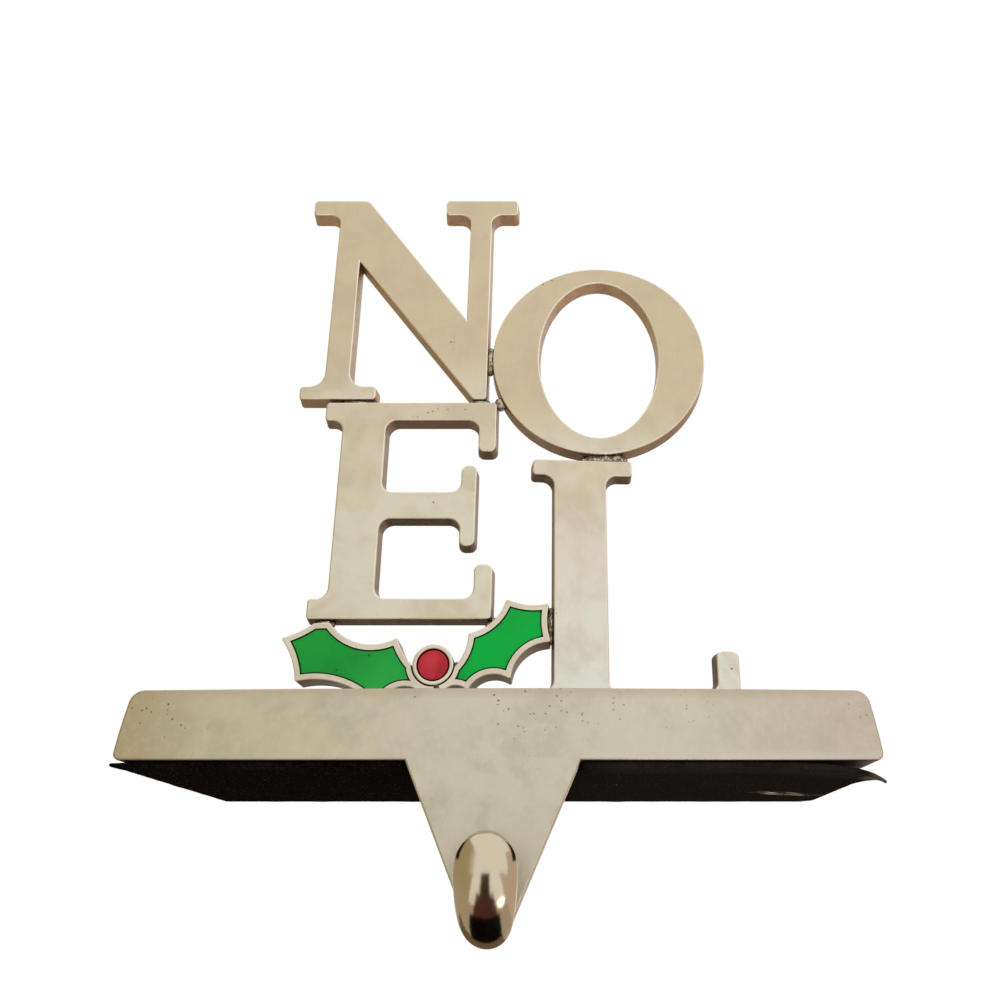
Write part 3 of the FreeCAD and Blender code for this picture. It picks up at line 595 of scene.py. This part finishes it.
BERRY_POOL = (-0.0195, -0.004, 0.030)


def enamel_finish(name, body, deep, pale, pool, pool_reach):
    """Glossy enamel with a paler pool round one spot and a dark line of painted shade along its border."""
    material, tree, shader, place = start_material(name)
    border = put(tree, "ShaderNodeAttribute", attribute_name="border").outputs["Fac"]
    cloud = apply_effect(tree, clouding, place=place, size=120.0)[0]
    speck = apply_effect(tree, pitting, place=place, count=520.0, spread=120.0, rarity=0.55)[0]
    colour = layers(tree, body,
                    (product(tree, cloud, 0.5), deep),
                    (grade(tree, apart_from(tree, place, pool), 0.0, pool_reach, 0.75, 0.0), pale),
                    (product(tree, speck, 0.75), GAP_SHADE_AND_DUST),
                    # Painted shade: a dark line along the border, where the shrink groove is.
                    (grade(tree, border, LINE_WIDTH, LINE_WIDTH + LINE_FADE, 1.0, 0.0), GAP_SHADE_AND_DUST))
    ripple = speckle(tree, place, 260.0, 2.0)
    finish_shader(tree, shader, Base_Color=colour, Roughness=ENAMEL_ROUGHNESS,
                  Specular_IOR_Level=ENAMEL_SHEEN,
                  Normal=relief(tree, ripple, ENAMEL_RIPPLE_DEPTH, 0.35))
    return material


def merged_copy(node):
    """A CAD node's mesh as a bmesh with its doubles merged."""
    shape = bmesh.new()
    shape.from_mesh(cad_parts[node].data)
    bmesh.ops.remove_doubles(shape, verts=shape.verts, dist=1e-7)
    return shape


def front_faces(shape):
    """The faces that look towards the front."""
    return {face for face in shape.faces if face.normal.y < FIELD_SLANT}


def pour_enamel(name, node, material):
    """The enamel's solid with a finer front field, whose points know how far they lie from its border."""
    shape = merged_copy(node)
    bmesh.ops.triangulate(shape, faces=shape.faces)
    for _ in range(FIELD_ROUNDS):
        front = front_faces(shape)
        long = [edge for edge in shape.edges if edge.calc_length() > FIELD_STEP
                and any(face in front for face in edge.link_faces)]
        if not long:
            break
        bmesh.ops.subdivide_edges(shape, edges=long, cuts=1)
        bmesh.ops.triangulate(shape, faces=shape.faces)
    front = front_faces(shape)
    rim = [edge for edge in shape.edges if sum(face in front for face in edge.link_faces) == 1]
    sides = [tuple(vert.co.copy() for vert in edge.verts) for edge in rim]
    border = shape.verts.layers.float.new("border")
    for vert in {vert for face in front for vert in face.verts}:
        nearest = 1.0
        for start, end in sides:
            share = geometry.intersect_point_line(vert.co, start, end)[1]
            spot = start + (end - start) * min(1.0, max(0.0, share))
            nearest = min(nearest, (vert.co - spot).length)
        vert[border] = nearest
    for vert in {vert for edge in rim for vert in edge.verts}:
        vert.co.y += GROOVE
    piece = piece_from(shape, name, material)
    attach(piece, "root")
    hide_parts(node)


left_green = enamel_finish("green_enamel_left", LEAF_GREEN, LEAF_DEEP, LEAF_PALE, LEFT_POOL, 0.019)
right_green = enamel_finish("green_enamel_right", RIGHT_GREEN, LEAF_GREEN, RIGHT_PALE, RIGHT_POOL, 0.012)
berry_red = enamel_finish("red_enamel", BERRY_RED, BERRY_DEEP, BERRY_PALE, BERRY_POOL, 0.003)
pour_enamel("enamel_left", "leaf_enamel_left", left_green)
pour_enamel("enamel_right", "leaf_enamel_right", right_green)
pour_enamel("enamel_berry", "berry_enamel", berry_red)

# Solder
# The castings are joined by hand with solder run into the gaps between them. It froze in bright, uneven
# puddles a little behind the faces, with flux stain in their hollows.
SOLDER = (0.55, 0.49, 0.39)
SOLDER_ROUGHNESS = 0.18
FLUX = (0.11, 0.09, 0.05)
FLUX_ROUGHNESS = 0.3
FLUX_DEPTH = 0.0002
SOLDER_VOXEL = 0.00024
SOLDER_SWELL = 0.00022
SOLDER_LUMPS = 900

solder_metal, tree, shader, place = start_material("run_solder")
stain = apply_effect(tree, clouding, place=place, size=900.0, low=0.45, high=0.62)[0]
finish_shader(tree, shader, Base_Color=tint(tree, product(tree, stain, 0.8), SOLDER, FLUX), Metallic=1.0,
              Roughness=total(tree, product(tree, stain, FLUX_ROUGHNESS), SOLDER_ROUGHNESS),
              Normal=relief(tree, stain, FLUX_DEPTH, 0.6))


def run_solder(node):
    """A bead's solid remeshed finely and swollen unevenly."""
    piece = piece_from(merged_copy(node), node + "_run", solder_metal)
    remesh = piece.modifiers.new("even_skin", "REMESH")
    remesh.mode = "VOXEL"
    remesh.voxel_size = SOLDER_VOXEL
    remesh.use_smooth_shade = True
    settle_modifiers(piece)
    normals = [vert.normal.copy() for vert in piece.data.vertices]
    for vert, normal in zip(piece.data.vertices, normals):
        spot = vert.co * SOLDER_LUMPS
        swell = noise.noise(spot) + 0.6 * noise.noise(spot * 2.3)
        vert.co += normal * (SOLDER_SWELL * swell)
    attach(piece, "root")
    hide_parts(node)


for name in sorted(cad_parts):
    if name.startswith("solder_"):
        run_solder(name)

# Floor, light and camera
# Not part of the holder: a wide pale floor under it, soft lamps all round, cards that only the metal
# reflects, and the photo's low viewpoint.
FLOOR_Z = -0.075
FLOOR_REACH = 6.0
FLOOR_FADE = (0.26, 0.34)
FLOOR_PAINT = (0.93, 0.925, 0.915)
WHITE = (1.0, 1.0, 1.0)
TABLE_GLOW = (0.52, 0.42, 0.33)
WALL_GLOW = (0.48, 0.39, 0.25)
WALL_FADE = (-1.2, -0.35)
SIDE_GLOW = (0.68, 0.53, 0.45)
UNDER_GLOW = (0.17, 0.115, 0.07)
DARK_GLOW = (0.0, 0.0, 0.0)
RED_GLOW = (0.085, 0.030, 0.022)
STEM_GLOW = (0.036, 0.023, 0.013)
BULB_GLOW = (1.0, 0.98, 0.94)
BULB_STRENGTH = 3.0
BULB_SPOT = (0.050, -0.081)
BULB_REACH = (0.019, 0.012)
BULB_LIFT = 0.005
FLOOR_CARDS = [
    ("table_card", 0.0010, TABLE_GLOW, [(-0.5, -0.085), (0.5, -0.085), (0.5, 0.5), (-0.5, 0.5)]),
    ("left_card", 0.0015, WALL_GLOW, [(-0.5, -0.5), (-0.26, -0.5), (-0.055, -0.085), (-0.5, -0.085)]),
    ("right_card", 0.0015, SIDE_GLOW,
     [(0.33, -0.5), (0.5, -0.5), (0.5, 0.3), (0.11, 0.3), (0.070, -0.085)]),
    ("stem_card", 0.0020, STEM_GLOW,
     [(-0.072, -0.42), (0.068, -0.42), (0.0150, -0.116), (-0.0200, -0.116)]),
    ("red_card", 0.0030, RED_GLOW, [(-0.034, -0.118), (0.030, -0.118), (0.026, -0.060), (-0.028, -0.060)]),
    ("under_card", 0.0032, UNDER_GLOW, [(-0.08, -0.012), (0.026, -0.012), (0.026, 0.3), (-0.08, 0.3)]),
    ("dark_card", 0.0040, DARK_GLOW, [(-0.036, -0.064), (0.032, -0.064), (0.022, -0.008), (-0.025, -0.008)]),
]
ROOM_COLOUR = (1.0, 0.985, 0.96)
ROOM_STRENGTH = 0.7
LAMP_COLOUR = (1.0, 0.98, 0.95)
HOLDER_MIDDLE = (0.0, 0.0, 0.07)
CAMERA_SPOT = (0.0133, -0.2508, -0.0262)
CAMERA_PITCH = 22.0
CAMERA_SHIFT_X = -0.062

floor_paint, tree, shader, place = start_material("pale_floor")
finish_shader(tree, shader, Base_Color=FLOOR_PAINT, Roughness=1.0, Specular_IOR_Level=0.0)
ray = tree.nodes.new("ShaderNodeLightPath").outputs
seen = reckon(tree, "MAXIMUM", ray["Is Camera Ray"], ray["Is Glossy Ray"])
far = product(tree, grade(tree, apart_from(tree, place, (0.0, 0.0, 0.0)), *FLOOR_FADE), seen)
white = put(tree, "ShaderNodeEmission", {"Color": (*WHITE, 1.0), "Strength": 1.0})
either = put(tree, "ShaderNodeMixShader", {0: far, 1: shader.outputs[0], 2: white.outputs[0]})
tree.links.new(either.outputs[0], tree.nodes["Material Output"].inputs[0])
plate = bmesh.new()
bmesh.ops.create_grid(plate, x_segments=1, y_segments=1, size=FLOOR_REACH,
                      matrix=Matrix.Translation((0.0, 0.0, FLOOR_Z)))
piece_from(plate, "floor", floor_paint)


def reflected_card(name, corners, glow, strength=1.0, fade=None):
    """A flat card that shows only in reflections; fade gives the two Y between which it turns from white."""
    paint, tree, shader, place = start_material(name)
    tree.nodes.remove(shader)
    lit = put(tree, "ShaderNodeEmission", {"Color": (*glow, 1.0), "Strength": strength})
    if fade:
        depth = parts_of(tree, place)[1]
        tree.links.new(tint(tree, grade(tree, depth, *fade), WHITE, glow), lit.inputs["Color"])
    tree.links.new(lit.outputs[0], tree.nodes["Material Output"].inputs[0])
    mesh = bpy.data.meshes.new(name)
    mesh.from_pydata(corners, [], [tuple(range(len(corners)))])
    card = new_piece(name, mesh, paint)
    card.visible_camera = False
    card.visible_diffuse = False
    card.visible_transmission = False
    card.visible_shadow = False


def wall(x, front, back, top):
    """Corners of an upright card that stands on the floor at one X."""
    return [(x, front, FLOOR_Z), (x, back, FLOOR_Z), (x, back, top), (x, front, top)]


for name, lift, glow, corners in FLOOR_CARDS:
    reflected_card(name, [(x, y, FLOOR_Z + lift) for x, y in corners], glow)
reflected_card("left_wall_card", wall(-0.5, -1.3, 1.3, 0.6), WALL_GLOW, fade=WALL_FADE)
reflected_card("right_wall_card", wall(0.5, -0.25, 1.3, 0.3), SIDE_GLOW)
disc = [(BULB_SPOT[0] + BULB_REACH[0] * math.cos(turn), BULB_SPOT[1] + BULB_REACH[1] * math.sin(turn),
         FLOOR_Z + BULB_LIFT) for turn in (math.radians(20 * step) for step in range(18))]
reflected_card("bulb_card", disc, BULB_GLOW, BULB_STRENGTH)

world = bpy.data.worlds.new("soft_room")
bpy.context.scene.world = world
world.use_nodes = True
tree = world.node_tree
tree.nodes.clear()
ray = tree.nodes.new("ShaderNodeLightPath").outputs
seen = reckon(tree, "MAXIMUM", ray["Is Camera Ray"], ray["Is Glossy Ray"])
seen = reckon(tree, "MAXIMUM", seen, ray["Is Transmission Ray"])
room = put(tree, "ShaderNodeBackground", {"Color": (*ROOM_COLOUR, 1.0), "Strength": ROOM_STRENGTH})
white = put(tree, "ShaderNodeBackground", {"Color": (*WHITE, 1.0), "Strength": 1.0})
either = put(tree, "ShaderNodeMixShader", {0: seen, 1: room.outputs[0], 2: white.outputs[0]})
put(tree, "ShaderNodeOutputWorld", {0: either.outputs[0]})


def soft_lamp(name, spot, size, power):
    """A wide round lamp that faces the holder and doesn't show in the metal."""
    lamp = bpy.data.lights.new(name, "AREA")
    lamp.shape = "DISK"
    lamp.size = size
    lamp.energy = power
    lamp.color = LAMP_COLOUR
    stand = bpy.data.objects.new(name, lamp)
    bpy.context.collection.objects.link(stand)
    stand.location = spot
    stand.rotation_euler = (Vector(HOLDER_MIDDLE) - Vector(spot)).to_track_quat("-Z", "Y").to_euler()
    stand.visible_glossy = False


soft_lamp("window_right", (1.2, -0.7, 0.7), 1.8, 6.0)
soft_lamp("window_left", (-1.1, -0.3, 0.6), 1.6, 4.0)
soft_lamp("ceiling", (0.1, 0.5, 1.2), 2.0, 9.0)

camera = bpy.data.objects.new("camera", bpy.data.cameras.new("camera"))
bpy.context.collection.objects.link(camera)
camera.location = CAMERA_SPOT
camera.rotation_euler = (math.radians(90 + CAMERA_PITCH), 0.0, 0.0)
camera.data.sensor_width = 36.0
camera.data.lens = 36.0
camera.data.shift_x = CAMERA_SHIFT_X
camera.data.clip_start = 0.01
camera.data.clip_end = 50.0
bpy.context.scene.camera = camera
bpy.context.scene.view_settings.view_transform = "Standard"
